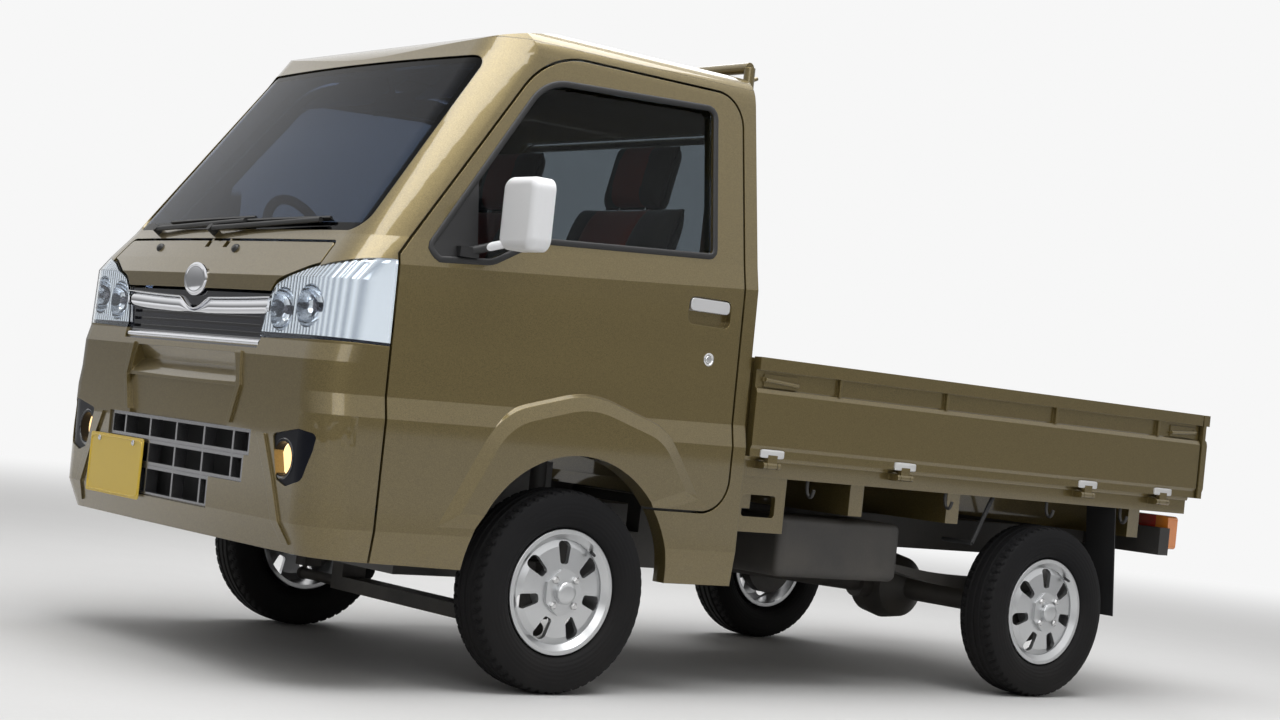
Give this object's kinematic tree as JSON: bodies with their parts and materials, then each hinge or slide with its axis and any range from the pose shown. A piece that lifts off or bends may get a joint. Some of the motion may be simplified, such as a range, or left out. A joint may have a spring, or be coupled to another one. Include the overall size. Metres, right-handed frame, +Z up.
{
  "type": "kei truck",
  "caption": "Small cab-over pickup truck with a low drop-side bed, hinged doors, a front service lid and steerable front wheels.",
  "frame": {"origin": "on the ground under the middle of the truck", "axes": "+Z up, the nose faces -Y, the truck's left side is +X"},
  "size_m": [1.774, 3.3956, 1.78],
  "materials": {
    "paint": "metallic olive-bronze enamel",
    "chassis_black": "satin black",
    "casting": "plain casting",
    "cabin": "grained",
    "cloth": "woven",
    "glass": "tinted",
    "lens": "clear",
    "lamp_body": "reflector",
    "grille_dark": "gloss dark",
    "bars": "silver",
    "black_trim": "matte",
    "mirror_shell": "gloss",
    "plate": "blank yellow",
    "red_lens": "clear coat",
    "wheel": "silver",
    "tyre": "matte"
  },
  "bodies": {
    "chassis": {"cab_frame": "paint", "cab_roof": "paint", "front_cover": "paint", "bed_headboard": "paint", "bed_deck": "paint", "cab_back": "paint", "frame_ladder": "chassis_black", "front_suspension": "chassis_black", "rear_axle": "chassis_black", "leaf_springs": "chassis_black", "prop_shaft": "chassis_black", "exhaust": "chassis_black", "rear_bumper": "chassis_black", "fuel_tank": "chassis_black", "engine_block": "casting", "cab_floor": "cabin", "dashboard": "cabin", "seat_left": "cloth", "seat_right": "cloth", "windscreen": "glass", "rear_window": "glass", "lamp_lenses": "lens", "lamp_housings": "lamp_body", "grille_upper": "grille_dark", "grille_lower": "bars", "wipers": "black_trim", "mud_guards": "black_trim", "number_plate": "plate", "tail_lamps": "red_lens"},
    "door_left_body": {"door_left": "paint", "door_glass_left": "glass", "door_mirror_left": "mirror_shell"},
    "door_right_body": {"door_right": "paint", "door_glass_right": "glass", "door_mirror_right": "mirror_shell"},
    "hood_body": {"hood": "paint"},
    "gate_left_body": {"gate_left": "paint"},
    "gate_right_body": {"gate_right": "paint"},
    "gate_tail_body": {"gate_tail": "paint"},
    "knuckle_left_body": {"knuckle_left": "chassis_black"},
    "knuckle_right_body": {"knuckle_right": "chassis_black"},
    "wheel_front_left_body": {"wheel_front_left": "wheel", "tyre_front_left": "tyre"},
    "wheel_front_right_body": {"wheel_front_right": "wheel", "tyre_front_right": "tyre"},
    "wheel_rear_left_body": {"wheel_rear_left": "wheel", "tyre_rear_left": "tyre"},
    "wheel_rear_right_body": {"wheel_rear_right": "wheel", "tyre_rear_right": "tyre"},
    "steering_wheel_body": {"steering_wheel": "cabin"}
  },
  "joints": [
    {"name": "door_left_hinge", "type": "hinge", "parent": "chassis", "child": "door_left_body", "pos_m": [0.709, -1.425, 0.45], "axis": [0.0267, 0, -0.9996], "range_deg": [0, 65]},
    {"name": "door_right_hinge", "type": "hinge", "parent": "chassis", "child": "door_right_body", "pos_m": [-0.709, -1.425, 0.45], "axis": [0.0267, 0, 0.9996], "range_deg": [0, 65]},
    {"name": "hood_hinge", "type": "hinge", "parent": "chassis", "child": "hood_body", "pos_m": [0, -1.6125, 1.0915], "axis": [-1, 0, 0], "range_deg": [0, 45]},
    {"name": "gate_left_hinge", "type": "hinge", "parent": "chassis", "child": "gate_left_body", "pos_m": [0.7285, 0, 0.646], "axis": [0, 1, 0], "range_deg": [0, 170]},
    {"name": "gate_right_hinge", "type": "hinge", "parent": "chassis", "child": "gate_right_body", "pos_m": [-0.7285, 0, 0.646], "axis": [0, -1, 0], "range_deg": [0, 170]},
    {"name": "gate_tail_hinge", "type": "hinge", "parent": "chassis", "child": "gate_tail_body", "pos_m": [0, 1.6885, 0.646], "axis": [-1, 0, 0], "range_deg": [0, 170]},
    {"name": "steer_left", "type": "hinge", "parent": "chassis", "child": "knuckle_left_body", "pos_m": [0.606, -0.8975, 0.19], "axis": [-0.1959, 0.0456, 0.9796], "range_deg": [-35, 35]},
    {"name": "steer_right", "type": "hinge", "parent": "chassis", "child": "knuckle_right_body", "pos_m": [-0.606, -0.8975, 0.19], "axis": [0.1959, 0.0456, 0.9796], "range_deg": [-35, 35]},
    {"name": "steering_wheel_turn", "type": "hinge", "parent": "chassis", "child": "steering_wheel_body", "pos_m": [-0.33, -1.215, 1.075], "axis": [0, 0.8913, 0.4535], "range_deg": [-525, 525]},
    {"name": "wheel_front_left_spin", "type": "hinge", "parent": "knuckle_left_body", "child": "wheel_front_left_body", "pos_m": [0.6525, -0.8975, 0.268], "axis": [1, 0, 0], "continuous": true},
    {"name": "wheel_front_right_spin", "type": "hinge", "parent": "knuckle_right_body", "child": "wheel_front_right_body", "pos_m": [-0.6525, -0.8975, 0.268], "axis": [1, 0, 0], "continuous": true},
    {"name": "wheel_rear_left_spin", "type": "hinge", "parent": "chassis", "child": "wheel_rear_left_body", "pos_m": [0.65, 1.0025, 0.268], "axis": [1, 0, 0], "continuous": true},
    {"name": "wheel_rear_right_spin", "type": "hinge", "parent": "chassis", "child": "wheel_rear_right_body", "pos_m": [-0.65, 1.0025, 0.268], "axis": [1, 0, 0], "continuous": true}
  ],
  "couplings": [
    {"joint": "steer_right", "follows": "steer_left", "ratio": 1},
    {"joint": "steering_wheel_turn", "follows": "steer_left", "ratio": 15}
  ]
}
